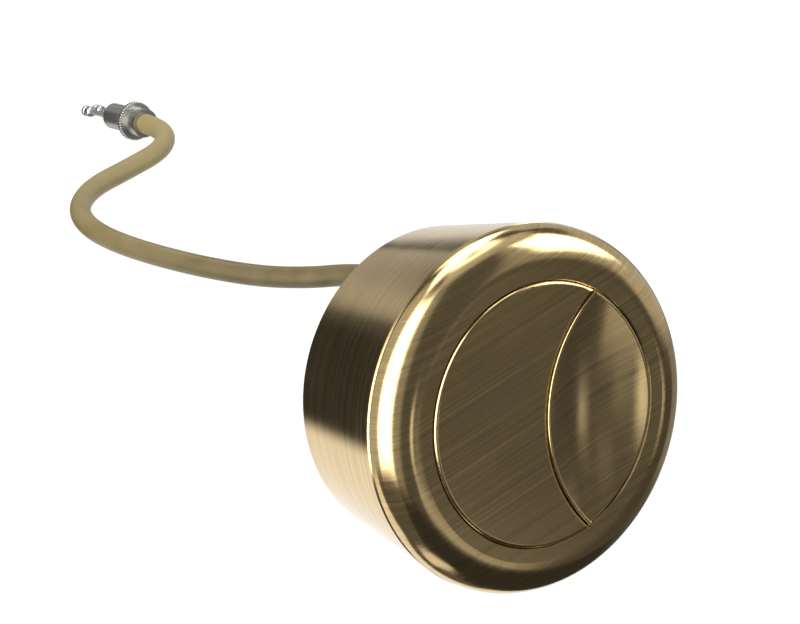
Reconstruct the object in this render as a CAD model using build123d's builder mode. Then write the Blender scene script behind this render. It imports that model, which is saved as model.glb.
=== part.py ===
from build123d import *
import os
from math import atan, cos, degrees, pi, radians, sin, tan

# Dual-flush push button for a concealed cistern, worked through one twin-wire cable.
# Millimetres. The wall is the plane Y = 0, the front faces -Y and +Z is up.
# Heights (names ending in _h) are measured from the wall towards the front.

# Driving dimensions: visible metalwork
face_h = 37.5
bezel_r = 36.5
bezel_width = 10.28
bezel_height = 7.2
shoulder_width = 7.3
shoulder_height = 6.3
bezel_bore_depth = 3.4
bezel_lip = 0.25
spigot_wall = 2.6
sleeve_wall = 2.5
sleeve_taper = 5.1
sleeve_back_h = 0.4
sleeve_back_wall = 1.6
sleeve_rim_chamfer = 0.3
ledge_width = 1.8
ledge_thickness = 2.0
rear_bore_h = 6.0
seal_thickness = 0.3
seal_inset = 0.9

# Driving dimensions: caps
cap_rise = 0.5
cap_gap = 0.08
full_cap_thickness = 2.2
half_cap_thickness = 4.45
lens_rise = 0.25
lens_centre_x = 31.1
lens_arc_r = 30.5
split_gap = 0.1
cap_edge_r = 0.7
dish_depth = 2.6
dish_rim_drop = 0.1
dish_edge_r = 0.6
peg_r = 1.6
peg_length = 1.6
full_peg_x = -15.0
half_peg_x = 15.0
peg_z = 6.5

# Driving dimensions: plungers and springs
stroke = 6.0
stop_gap = 0.6
plate_inset = 0.25
plate_thickness = 2.0
stem_inset = 10.14
stem_z = 13.0
stem_r = 2.4
barb_r = 3.1
barb_length = 1.5
barb_taper = 15
push_inset = 8.5
push_z = -13.5
push_width = 4.0
push_thickness = 4.0
spring_r = 3.7
spring_wire_r = 0.4
spring_turns = 6.5

# Driving dimensions: guide body
deck_thickness = 2.6
skirt_gap = 1.3
skirt_wall = 1.8
pocket_r = 4.8
pocket_wall = 0.9
pocket_depth = 6.6
pocket_floor = 2.0
cheek_thickness = 2.4
middle_cheek = 1.8
cheek_half_width = 3.2
rear_wall = 2.0
rear_wall_half_width = 10.0
rear_wall_drop = 7.5
window_half_width = 6.4
window_half_height = 4.6

# Driving dimensions: levers and wires
pin_z = 3.5
lever_gap = 0.5
pin_r = 1.5
pin_overhang = 1.6
hub_r = 3.5
hub_outer_x = 12.2
arm_half = 2.0
arm_width = 4.4
arm_tail = 2.4
pull_width = 3.6
pull_tail = 2.4
wire_x = 3.0
wire_r = 0.6
wire_slot = 1.8
wire_slot_run = 2.2
nipple_r = 1.7
nipple_length = 3.2
wire_hold = 7.0
clip_r = 3.0
clip_thickness = 0.8

# Driving dimensions: cable and its fittings
cable_r = 2.25
cable_start_y = 1.0
bend_share = 0.45
socket_depth = 3.6
splitter_r = 4.8
splitter_tail_r = 4.2
flange_r = 5.7
flange_thickness = 1.2
clip_ring_r = 6.6
clip_ring_thickness = 0.6
clip_lip = 0.4
clip_gap = 1.1
boot_r = 5.4
boot_tip_r = 3.1
boot_length = 6.0
end_tail_r = 3.2
end_spigot_r = 2.9
end_collar_r = 4.2
end_collar = 1.4
end_wire_x = 1.35
end_wire_hold = 2.6
end_nipple_r = 1.2
end_nipple_length = 3.0
end_reach = 7.2

# Driving dimensions: wall fixing
gasket_inset = 0.8
gasket_width = 2.8
gasket_thickness = 1.0
base_thickness = 3.6
screw_x = 20.0
screw_hole_r = 2.25
screw_head_r = 4.2
cable_hole_r = 6.3
grub_h = 4.2
grub_r = 1.5
grub_length = 7.0
grub_socket_r = 0.75
grub_socket_depth = 2.0
boss_half_width = 4.0
boss_depth = 8.0
boss_gap = 1.0

# Clearances
running = 0.05
free = 0.2
loose = 0.3

# Radii and places across the axis, from the bezel inwards
counterbore_r = bezel_r - sleeve_wall
ledge_r = counterbore_r - ledge_width
sleeve_back_r = bezel_r - sleeve_taper
rear_bore_r = sleeve_back_r - sleeve_back_wall
skirt_r = rear_bore_r - skirt_gap
gasket_r = rear_bore_r - gasket_inset
gasket_bore_r = gasket_r - gasket_width
crown_r = bezel_r - shoulder_width
bezel_bore_r = bezel_r - bezel_width
cap_r = bezel_bore_r - cap_gap
stem_x = cap_r - stem_inset
push_x = stem_x - push_inset
push_tip_r = push_thickness / 2
wire_z = skirt_r - skirt_wall - clip_gap - clip_ring_r
hub_inner_x = middle_cheek / 2 + loose
cheek_x = hub_outer_x + loose
pin_half = cheek_x + cheek_thickness + pin_overhang

# Levers: how far they swing, pull and reach
pull_arm = wire_z - pin_z
push_arm = pin_z - push_z
half_swing = atan(stroke / 2 / push_arm)
wire_pull = stroke * pull_arm / push_arm
pull_length = pull_arm / cos(half_swing) + pull_tail
push_length = push_arm / cos(half_swing) + arm_tail
pull_reach = pull_length * sin(half_swing) + arm_half * cos(half_swing)
push_reach = push_length * sin(half_swing) + arm_half * cos(half_swing)

# Heights, from the face back to the wall
bezel_face_h = face_h - cap_rise
shoulder_h = bezel_face_h - shoulder_height
seam_h = face_h - bezel_height
sleeve_front_h = seam_h - seal_thickness
full_cap_back_h = face_h - full_cap_thickness
lens_face_h = face_h + lens_rise
half_cap_back_h = lens_face_h - half_cap_thickness
deck_top_h = half_cap_back_h - plate_thickness - stroke - stop_gap
deck_h = deck_top_h - deck_thickness
pocket_floor_h = deck_h - pocket_depth
pin_h = deck_h - lever_gap - push_reach
push_tip_h = pin_h + stroke / 2 + arm_half + push_tip_r + free
nipple_h = pin_h - wire_pull / 2 + arm_half + nipple_r + free
splitter_front_h = pin_h - pull_reach - lever_gap
clip_h = splitter_front_h - clip_lip - clip_ring_thickness
rear_wall_h = clip_h - rear_wall
splitter_back_h = -cable_start_y - socket_depth
boss_top_h = 2 * grub_h - gasket_thickness
skirt_back_h = boss_top_h + boss_gap

# Cable route, chosen by hand: it leaves the rear, drifts left and turns right towards the cistern
route = [
    (0.0, cable_start_y, wire_z),
    (0.0, 19.0, wire_z),
    (-9.0, 39.0, 15.0),
    (-17.5, 59.0, 15.4),
    (-24.5, 82.0, 17.8),
    (-23.0, 97.5, 20.7),
    (-13.0, 109.5, 23.6),
    (2.5, 116.5, 26.3),
    (13.5, 121.5, 28.5),
    (19.0, 127.5, 30.6),
    (20.5, 135.5, 31.7),
    (20.5, 142.5, 31.7),
]
cable_end = route[-1]

# Planes: FRONT has X and Z in it and grows towards the front; SECTION has radius and height
FRONT = Plane.XZ
SECTION = Plane(origin=(0, 0, 0), x_dir=(1, 0, 0), z_dir=(0, 0, -1))
CABLE_SECTION = Plane(origin=(0, 0, wire_z), x_dir=(1, 0, 0), z_dir=(0, 0, -1))
CABLE_AXIS = Axis((0, 0, wire_z), (0, 1, 0))
END_SECTION = Plane(origin=cable_end, x_dir=(1, 0, 0), z_dir=(0, 0, 1))
END_AXIS = Axis(cable_end, (0, 1, 0))
FROM_BELOW = (Align.CENTER, Align.MIN)
FROM_ABOVE = (Align.CENTER, Align.MAX)

os.makedirs("parts", exist_ok=True)


def save(piece, name):
    """Labels a finished piece and writes its STEP file."""
    piece.part.label = name
    export_step(piece.part, f"parts/{name}.step")


# Outer sleeve: turned cone with a ledge for the guide body and a hole for the grub screw
with BuildPart() as outer_sleeve:
    with BuildSketch(SECTION):
        with BuildLine():
            Polyline(
                (rear_bore_r, sleeve_back_h),
                (sleeve_back_r - sleeve_rim_chamfer, sleeve_back_h),
                (sleeve_back_r, sleeve_back_h + sleeve_rim_chamfer),
                (bezel_r, sleeve_front_h - sleeve_rim_chamfer),
                (bezel_r - sleeve_rim_chamfer, sleeve_front_h),
                (counterbore_r, sleeve_front_h),
                (counterbore_r, deck_h),
                (ledge_r, deck_h),
                (ledge_r, deck_h - ledge_thickness),
                (rear_bore_r, rear_bore_h),
                close=True,
            )
        make_face()
    revolve(axis=Axis.Y)
    with Locations(Plane(origin=(0, -grub_h, -sleeve_back_r), z_dir=(0, 0, -1))):
        Cylinder(grub_r + free, 2 * grub_length, mode=Mode.SUBTRACT)
save(outer_sleeve, "outer_sleeve")

# Front bezel: elliptical shoulder round a flat front, spigot into the sleeve
with BuildPart() as front_bezel:
    with BuildSketch(SECTION):
        with BuildLine():
            EllipticalCenterArc((crown_r, shoulder_h), shoulder_width, shoulder_height, arc_size=90)
            Polyline(
                (crown_r, bezel_face_h),
                (bezel_bore_r + bezel_lip, bezel_face_h),
                (bezel_bore_r, bezel_face_h - bezel_lip),
                (bezel_bore_r, bezel_face_h - bezel_bore_depth),
                (counterbore_r - running - spigot_wall, bezel_face_h - bezel_bore_depth),
                (counterbore_r - running - spigot_wall, deck_top_h),
                (counterbore_r - running, deck_top_h),
                (counterbore_r - running, seam_h),
                (bezel_r - sleeve_rim_chamfer, seam_h),
                (bezel_r, seam_h + sleeve_rim_chamfer),
                (bezel_r, shoulder_h),
            )
        make_face()
    revolve(axis=Axis.Y)
save(front_bezel, "front_bezel")

# Bezel seal: flat ring in the seam
with BuildPart() as bezel_seal:
    with BuildSketch(FRONT.offset(sleeve_front_h)):
        Circle(bezel_r - seal_inset)
        Circle(counterbore_r + running, mode=Mode.SUBTRACT)
    extrude(amount=seal_thickness)
save(bezel_seal, "bezel_seal")

# Full-flush cap: flat crescent with two pegs behind it
with BuildPart() as full_flush_cap:
    with BuildSketch(FRONT.offset(full_cap_back_h)):
        Circle(cap_r)
        with Locations((lens_centre_x, 0)):
            Circle(lens_arc_r + split_gap / 2, mode=Mode.SUBTRACT)
    extrude(amount=full_cap_thickness)
    fillet(full_flush_cap.faces().sort_by(Axis.Y)[0].edges(), cap_edge_r)
    with BuildSketch(FRONT.offset(full_cap_back_h)):
        with Locations((full_peg_x, peg_z), (full_peg_x, -peg_z)):
            Circle(peg_r)
    extrude(amount=-peg_length)
save(full_flush_cap, "full_flush_cap")

# Barrel that hollows the half-flush cap: flatter along Z than across, rim just below the blank's face
lens_left_x = lens_centre_x - lens_arc_r
tip_x = (cap_r**2 - lens_arc_r**2 + lens_centre_x**2) / (2 * lens_centre_x)
tip_z = (cap_r**2 - tip_x**2) ** 0.5
dish_x = (lens_left_x + cap_r) / 2
lens_half_width = (cap_r - lens_left_x) / 2
side_sag = dish_depth - dish_rim_drop
dish_across_r = (lens_half_width**2 + side_sag**2) / (2 * side_sag)
tip_sag = dish_across_r - ((dish_across_r - side_sag) ** 2 + (dish_x - tip_x) ** 2) ** 0.5
dish_along_r = (tip_z**2 + tip_sag**2) / (2 * tip_sag)
dish_axis_h = lens_face_h - dish_depth + dish_across_r
dish_half = cap_r
dish_drop = dish_along_r - (dish_along_r**2 - dish_half**2) ** 0.5
DISH = Plane(origin=(dish_x, -dish_axis_h, 0), x_dir=(0, 1, 0), z_dir=(1, 0, 0))
with BuildPart() as dish_barrel:
    with BuildSketch(DISH):
        with BuildLine():
            ThreePointArc(
                (dish_across_r - dish_drop, -dish_half),
                (dish_across_r, 0),
                (dish_across_r - dish_drop, dish_half),
            )
            Polyline(
                (dish_across_r - dish_drop, dish_half),
                (0, dish_half),
                (0, -dish_half),
                (dish_across_r - dish_drop, -dish_half),
            )
        make_face()
    revolve(axis=Axis((dish_x, -dish_axis_h, 0), (0, 0, 1)))

# Half-flush cap: lens outline with a dished face
with BuildPart() as half_flush_cap:
    with BuildSketch(FRONT.offset(half_cap_back_h)):
        Circle(cap_r)
        with Locations((lens_centre_x, 0)):
            Circle(lens_arc_r - split_gap / 2, mode=Mode.INTERSECT)
    extrude(amount=half_cap_thickness)
    add(dish_barrel.part, mode=Mode.SUBTRACT)
    fillet(half_flush_cap.faces().filter_by(GeomType.REVOLUTION).edges(), dish_edge_r)
    with BuildSketch(FRONT.offset(half_cap_back_h)):
        with Locations((half_peg_x, peg_z), (half_peg_x, -peg_z)):
            Circle(peg_r)
    extrude(amount=-peg_length)
save(half_flush_cap, "half_flush_cap")


def plunger(side, cap_back_h, lens_r, lens_mode, peg_x):
    """Returns a moulded carrier: plate under a cap, two barbed guide stems and a push leg."""
    plate_back_h = cap_back_h - plate_thickness
    stem_back_h = pocket_floor_h - free - barb_length
    stems = [(side * stem_x, stem_z), (side * stem_x, -stem_z)]
    with BuildPart() as carrier:
        with BuildSketch(FRONT.offset(plate_back_h)):
            Circle(cap_r - plate_inset)
            with Locations((lens_centre_x, 0)):
                Circle(lens_r, mode=lens_mode)
            with Locations((peg_x, peg_z), (peg_x, -peg_z)):
                Circle(peg_r + running, mode=Mode.SUBTRACT)
        extrude(amount=plate_thickness)
        with BuildSketch(FRONT.offset(stem_back_h)):
            with Locations(*stems):
                Circle(stem_r)
        extrude(amount=plate_back_h - stem_back_h)
        with BuildSketch(FRONT.offset(stem_back_h + barb_length)):
            with Locations(*stems):
                Circle(barb_r)
        extrude(amount=-barb_length, taper=barb_taper)
        with BuildSketch(FRONT.offset(push_tip_h)):
            with Locations((side * push_x, push_z)):
                Rectangle(push_width, push_thickness)
        extrude(amount=plate_back_h - push_tip_h)
        with Locations(Plane(origin=(side * push_x, -push_tip_h, push_z), z_dir=(1, 0, 0))):
            Cylinder(push_tip_r, push_width)
    return carrier


full_lens_r = lens_arc_r + split_gap / 2 + plate_inset
half_lens_r = lens_arc_r - split_gap / 2 - plate_inset
save(plunger(-1, full_cap_back_h, full_lens_r, Mode.SUBTRACT, full_peg_x), "full_flush_plunger")
save(plunger(1, half_cap_back_h, half_lens_r, Mode.INTERSECT, half_peg_x), "half_flush_plunger")

# Guide body: deck, skirt, spring pockets, pin cheeks and the cable's rear wall
stem_places = [(sx * stem_x, sz * stem_z) for sx in (-1, 1) for sz in (1, -1)]
push_places = [(-push_x, push_z), (push_x, push_z)]
cheek_back_h = pin_h - cheek_half_width
with BuildPart() as guide_body:
    with BuildSketch(FRONT.offset(deck_h)):
        Circle(counterbore_r - running)
    extrude(amount=deck_thickness)
    with BuildSketch(FRONT.offset(skirt_back_h)):
        Circle(skirt_r)
        Circle(skirt_r - skirt_wall, mode=Mode.SUBTRACT)
    extrude(amount=deck_h - skirt_back_h)
    with BuildSketch(FRONT.offset(pocket_floor_h)):
        with Locations(*stem_places):
            Circle(pocket_r + pocket_wall)
    extrude(amount=deck_h - pocket_floor_h)
    with BuildSketch(FRONT.offset(cheek_back_h)):
        for x in (-cheek_x - cheek_thickness / 2, cheek_x + cheek_thickness / 2):
            with Locations((x, pin_z)):
                Rectangle(cheek_thickness, 2 * cheek_half_width)
        with Locations((0, pin_z)):
            Rectangle(middle_cheek, 2 * cheek_half_width)
    extrude(amount=deck_h - cheek_back_h)
    with BuildSketch(FRONT.offset(rear_wall_h)):
        with Locations((0, wire_z - rear_wall_drop)):
            Rectangle(2 * rear_wall_half_width, skirt_r, align=FROM_BELOW)
        Circle(skirt_r, mode=Mode.INTERSECT)
    extrude(amount=rear_wall)
    with BuildSketch(FRONT.offset(rear_wall_h)):
        Circle(skirt_r)
        Circle(skirt_r - skirt_wall, mode=Mode.SUBTRACT)
        with Locations((0, wire_z - rear_wall_drop)):
            Rectangle(2 * rear_wall_half_width, skirt_r, align=FROM_BELOW, mode=Mode.INTERSECT)
    extrude(amount=deck_h - rear_wall_h)
    with BuildSketch(FRONT.offset(pocket_floor_h + pocket_floor)):
        with Locations(*stem_places):
            Circle(pocket_r)
    extrude(amount=deck_top_h - pocket_floor_h - pocket_floor, mode=Mode.SUBTRACT)
    with BuildSketch(FRONT.offset(pocket_floor_h)):
        with Locations(*stem_places):
            Circle(stem_r + running)
    extrude(amount=pocket_floor, mode=Mode.SUBTRACT)
    with BuildSketch(FRONT.offset(deck_h)):
        with Locations(*push_places):
            Rectangle(push_width + 2 * loose, push_thickness + 2 * loose)
        with Locations((0, wire_z)):
            Rectangle(2 * window_half_width, 2 * window_half_height)
    extrude(amount=deck_thickness, mode=Mode.SUBTRACT)
    with BuildSketch(FRONT.offset(rear_wall_h)):
        with Locations((0, wire_z)):
            Circle(splitter_r + running)
    extrude(amount=rear_wall, mode=Mode.SUBTRACT)
    with Locations(Plane(origin=(0, -pin_h, pin_z), z_dir=(1, 0, 0))):
        Cylinder(pin_r + running, 2 * pin_half, mode=Mode.SUBTRACT)
save(guide_body, "guide_body")


def spring(x, z, plate_back_h):
    """Returns a compression spring from a pocket's floor to the plate above it."""
    seat_h = pocket_floor_h + pocket_floor + running + spring_wire_r
    length = plate_back_h - running - spring_wire_r - seat_h
    with BuildPart() as coil:
        with BuildLine() as path:
            Helix(length / spring_turns, length, spring_r, center=(x, -seat_h, z), direction=(0, -1, 0))
        with BuildSketch(path.line ^ 0):
            Circle(spring_wire_r)
        sweep(is_frenet=True)
    return coil


for name, side, back_h in (("full", -1, full_cap_back_h), ("half", 1, half_cap_back_h)):
    for place, z in (("upper", stem_z), ("lower", -stem_z)):
        save(spring(side * stem_x, z, back_h - plate_thickness), f"{name}_flush_spring_{place}")


def lever(side):
    """Returns one rocking lever, leaning back at rest by half of its swing."""
    tilt = Vector(0, -cos(half_swing), sin(half_swing))

    def side_plane(x):
        return Plane(origin=(side * x, -pin_h, pin_z), x_dir=tilt, z_dir=(-1, 0, 0))

    hub_mid_x = (hub_inner_x + hub_outer_x) / 2
    slot_back = pull_arm / cos(half_swing) - wire_slot_run
    with BuildPart() as rocker:
        with BuildSketch(side_plane(hub_mid_x)):
            Circle(hub_r)
        extrude(amount=(hub_outer_x - hub_inner_x) / 2, both=True)
        with BuildSketch(side_plane(wire_x)):
            Rectangle(2 * arm_half, pull_length, align=FROM_BELOW)
        extrude(amount=pull_width / 2, both=True)
        with BuildSketch(side_plane(push_x)):
            Rectangle(2 * arm_half, push_length, align=FROM_ABOVE)
        extrude(amount=arm_width / 2, both=True)
        with BuildSketch(side_plane(wire_x)):
            with Locations((0, slot_back)):
                Rectangle(2 * (arm_half + loose), pull_length, align=FROM_BELOW)
        extrude(amount=wire_slot / 2, both=True, mode=Mode.SUBTRACT)
        with BuildSketch(side_plane(hub_mid_x)):
            Circle(pin_r + running)
        extrude(amount=hub_outer_x, both=True, mode=Mode.SUBTRACT)
    return rocker


save(lever(-1), "full_flush_lever")
save(lever(1), "half_flush_lever")

# Lever pin and the two clips pushed on its ends
PIN = Plane(origin=(0, -pin_h, pin_z), z_dir=(1, 0, 0))
with BuildPart() as lever_pin:
    with BuildSketch(PIN):
        Circle(pin_r)
    extrude(amount=pin_half, both=True)
    chamfer(lever_pin.edges().filter_by(GeomType.CIRCLE), free)
save(lever_pin, "lever_pin")

with BuildPart() as pin_clips:
    for side in (-1, 1):
        clip_x = side * (cheek_x + cheek_thickness + clip_thickness / 2)
        with BuildSketch(PIN.offset(clip_x)):
            Circle(clip_r)
            Circle(pin_r, mode=Mode.SUBTRACT)
        extrude(amount=clip_thickness / 2, both=True)
save(pin_clips, "pin_clips")


def near_wire(side):
    """Returns an inner wire with its cross-barrel nipple, at the button's end."""
    with BuildPart() as wire:
        with BuildSketch(FRONT.offset(splitter_front_h - wire_hold)):
            with Locations((side * wire_x, wire_z)):
                Circle(wire_r)
        extrude(amount=nipple_h - splitter_front_h + wire_hold)
        with Locations(Plane(origin=(side * wire_x, -nipple_h, wire_z), z_dir=(1, 0, 0))):
            Cylinder(nipple_r, nipple_length)
    return wire


save(near_wire(-1), "full_flush_wire")
save(near_wire(1), "half_flush_wire")

# Cable splitter: ferrule seated behind the guide body's rear wall, with a bore for each wire
with BuildPart() as cable_splitter:
    with BuildSketch(CABLE_SECTION):
        with BuildLine():
            Polyline(
                (0, splitter_front_h),
                (splitter_r, splitter_front_h),
                (splitter_r, rear_wall_h),
                (flange_r, rear_wall_h),
                (flange_r, rear_wall_h - flange_thickness),
                (splitter_tail_r, rear_wall_h - flange_thickness),
                (splitter_tail_r, splitter_back_h),
                (cable_r + running, splitter_back_h),
                (cable_r + running, -cable_start_y),
                (0, -cable_start_y),
                close=True,
            )
        make_face()
    revolve(axis=CABLE_AXIS)
    with BuildSketch(FRONT.offset(splitter_front_h - wire_hold - loose)):
        with Locations((-wire_x, wire_z), (wire_x, wire_z)):
            Circle(wire_r + running)
    extrude(amount=wire_hold + loose, mode=Mode.SUBTRACT)
save(cable_splitter, "cable_splitter")

# Splitter clip: open ring in front of the rear wall
with BuildPart() as splitter_clip:
    with BuildSketch(FRONT.offset(clip_h)):
        with Locations((0, wire_z)):
            Circle(clip_ring_r)
            Circle(splitter_r + running, mode=Mode.SUBTRACT)
            Rectangle(splitter_r, 2 * clip_ring_r, align=FROM_BELOW, mode=Mode.SUBTRACT)
    extrude(amount=clip_ring_thickness)
save(splitter_clip, "splitter_clip")

# Strain relief: tapered boot over the splitter's tail and the first of the cable
boot_front_h = rear_wall_h - flange_thickness
boot_back_h = splitter_back_h - boot_length
with BuildPart() as strain_relief:
    with BuildSketch(CABLE_SECTION):
        with BuildLine():
            Polyline(
                (splitter_tail_r + running, boot_front_h),
                (boot_r, boot_front_h),
                (boot_r, splitter_back_h),
                (boot_tip_r, boot_back_h),
                (cable_r + running, boot_back_h),
                (cable_r + running, splitter_back_h),
                (splitter_tail_r + running, splitter_back_h),
                close=True,
            )
        make_face()
    revolve(axis=CABLE_AXIS)
save(strain_relief, "strain_relief")

# Cable sheath: straight runs joined by arcs as large as the runs allow
bend_radii = []
for before, corner, after in zip(route, route[1:], route[2:]):
    run_in = Vector(*corner) - Vector(*before)
    run_out = Vector(*after) - Vector(*corner)
    half_turn = radians(run_in.get_angle(run_out)) / 2
    bend_radii.append(bend_share * min(run_in.length, run_out.length) / tan(half_turn))
print("cable bend radii, mm:", [round(r, 1) for r in bend_radii])

with BuildPart() as cable_sheath:
    with BuildLine() as cable_path:
        FilletPolyline(*route, radius=bend_radii)
    with BuildSketch(cable_path.line ^ 0):
        Circle(cable_r)
    sweep()
cable_length = sum(edge.length for edge in cable_path.edges())
print("cable length, mm:", round(cable_length, 1))
cable_volume = cable_length * pi * cable_r**2
print("cable volume over section times length:", round(cable_sheath.part.volume / cable_volume, 5))
save(cable_sheath, "cable_sheath")

# End ferrule: collar and spigot at the cistern's end, with a bore for each wire
end_bore = end_wire_hold + wire_pull + loose
end_front = end_bore + end_collar
END_FACE = Plane(origin=cable_end, x_dir=(1, 0, 0), z_dir=(0, 1, 0)).offset(end_front)
with BuildPart() as end_ferrule:
    with BuildSketch(END_SECTION):
        with BuildLine():
            Polyline(
                (0, 0),
                (cable_r + running, 0),
                (cable_r + running, -socket_depth),
                (end_tail_r, -socket_depth),
                (end_tail_r, 0),
                (end_collar_r, 0),
                (end_collar_r, end_collar),
                (end_spigot_r, end_collar),
                (end_spigot_r, end_front),
                (0, end_front),
                close=True,
            )
        make_face()
    revolve(axis=END_AXIS)
    with BuildSketch(END_FACE):
        with Locations((-end_wire_x, 0), (end_wire_x, 0)):
            Circle(wire_r + running)
    extrude(amount=-end_bore, mode=Mode.SUBTRACT)
save(end_ferrule, "end_ferrule")


def far_wire(side):
    """Returns an inner wire with its round nipple, at the cistern's end."""
    with BuildPart() as wire:
        with BuildSketch(END_FACE.offset(-end_wire_hold)):
            with Locations((side * end_wire_x, 0)):
                Circle(wire_r)
        extrude(amount=end_wire_hold + end_reach)
        with BuildSketch(END_FACE.offset(end_reach)):
            with Locations((side * end_wire_x, 0)):
                Circle(end_nipple_r)
        extrude(amount=end_nipple_length)
    return wire


save(far_wire(-1), "full_flush_wire_end")
save(far_wire(1), "half_flush_wire_end")

# Base plate: disc with screw holes, the cable's hole, a rebate for the gasket and a boss for the grub screw
with BuildPart() as base_plate:
    with BuildSketch(FRONT):
        Circle(gasket_bore_r - running)
    extrude(amount=gasket_thickness)
    with BuildSketch(FRONT.offset(gasket_thickness)):
        Circle(rear_bore_r - loose)
    extrude(amount=base_thickness - gasket_thickness)
    with BuildSketch(FRONT.offset(gasket_thickness)):
        Circle(rear_bore_r - loose)
        with Locations((0, boss_depth - rear_bore_r)):
            Rectangle(2 * boss_half_width, 2 * boss_depth, align=FROM_ABOVE, mode=Mode.INTERSECT)
    extrude(amount=boss_top_h - gasket_thickness)
    with BuildSketch(FRONT):
        with Locations((0, wire_z)):
            Circle(cable_hole_r)
    extrude(amount=base_thickness, mode=Mode.SUBTRACT)
    with Locations(FRONT.offset(base_thickness)):
        with Locations((-screw_x, 0), (screw_x, 0)):
            CounterSinkHole(screw_hole_r, screw_head_r)
    with Locations(Plane(origin=(0, -grub_h, -rear_bore_r), z_dir=(0, 0, -1))):
        Cylinder(grub_r, 2 * grub_length, mode=Mode.SUBTRACT)
save(base_plate, "base_plate")

# Grub screw: headless, with a hexagon socket, level with the sleeve
GRUB = Plane(origin=(0, -grub_h, -sleeve_back_r), z_dir=(0, 0, 1))
with BuildPart() as grub_screw:
    with BuildSketch(GRUB):
        Circle(grub_r)
    extrude(amount=grub_length)
    with BuildSketch(GRUB):
        RegularPolygon(grub_socket_r, 6)
    extrude(amount=grub_socket_depth, mode=Mode.SUBTRACT)
save(grub_screw, "grub_screw")

# Wall gasket: foam ring behind the base plate
with BuildPart() as wall_gasket:
    with BuildSketch(FRONT):
        Circle(gasket_r)
        Circle(gasket_bore_r, mode=Mode.SUBTRACT)
    extrude(amount=gasket_thickness)
save(wall_gasket, "wall_gasket")

print("lever swing, degrees:", round(2 * degrees(half_swing), 4))
print("wire pull, mm:", round(wire_pull, 4))
print("lever pin height, spring seat height, mm:", round(pin_h, 4), round(pocket_floor_h + pocket_floor, 4))
print("end spigot from, to, mm:", round(cable_end[1] + end_collar, 4), round(cable_end[1] + end_front, 4))
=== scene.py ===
"""Looks of a round brass push button for a concealed cistern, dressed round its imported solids.

Lengths are in metres unless a line says otherwise.
"""

import logging
import math
from collections.abc import Sequence
from dataclasses import dataclass
from enum import Enum
from typing import Any

import bmesh
import bpy
from bpy.types import ID, Curve, Material, Mesh, Node, NodeSocket, NodeTree, Object
from mathutils import Matrix, Vector


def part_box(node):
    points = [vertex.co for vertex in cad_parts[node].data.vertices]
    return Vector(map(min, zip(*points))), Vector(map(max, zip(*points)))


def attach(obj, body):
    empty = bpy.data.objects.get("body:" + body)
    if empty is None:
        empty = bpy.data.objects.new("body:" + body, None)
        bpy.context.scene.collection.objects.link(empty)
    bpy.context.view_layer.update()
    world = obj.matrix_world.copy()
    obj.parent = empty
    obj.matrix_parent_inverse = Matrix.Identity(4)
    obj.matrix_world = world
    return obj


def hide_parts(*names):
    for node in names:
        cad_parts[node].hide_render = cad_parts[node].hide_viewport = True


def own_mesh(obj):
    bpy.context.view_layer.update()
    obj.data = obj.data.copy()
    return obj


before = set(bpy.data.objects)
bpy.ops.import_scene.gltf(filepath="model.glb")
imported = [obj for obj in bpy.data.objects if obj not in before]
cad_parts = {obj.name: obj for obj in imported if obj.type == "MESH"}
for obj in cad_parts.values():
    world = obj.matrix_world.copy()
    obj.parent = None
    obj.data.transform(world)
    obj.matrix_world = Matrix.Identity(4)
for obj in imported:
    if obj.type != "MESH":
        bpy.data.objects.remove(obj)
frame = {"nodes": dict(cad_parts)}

LOG = logging.getLogger("cistern_button")
MM = 0.001
Y_AXIS = (0.0, 1.0, 0.0)
# Edges that turn by more than this stay sharp.
CORNER = math.radians(35.0)
# About how wide each facet of a studio card is, in degrees.
FACET = 6.0
# Cards brighter than this light the part as lamps do.
LAMP_LIKE = 1.0

Colour = tuple[float, float, float]
Point = tuple[float, float, float]


def direction(azimuth: float, elevation: float) -> Vector:
    """Points away from the button.

    Args:
        azimuth: Degrees round from straight ahead of the button towards +X.
        elevation: Degrees above the horizon.

    Returns:
        A line of unit length.
    """
    turn, rise = math.radians(azimuth), math.radians(elevation)
    return Vector((math.sin(turn) * math.cos(rise), -math.cos(turn) * math.cos(rise), math.sin(rise)))


def place_object(name: str, data: ID) -> Object:
    """Puts an object in the scene.

    Args:
        name: Its name.
        data: Its mesh, curve, lamp or camera.

    Returns:
        The object.
    """
    thing = bpy.data.objects.new(name, data)
    bpy.context.scene.collection.objects.link(thing)
    return thing


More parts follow.
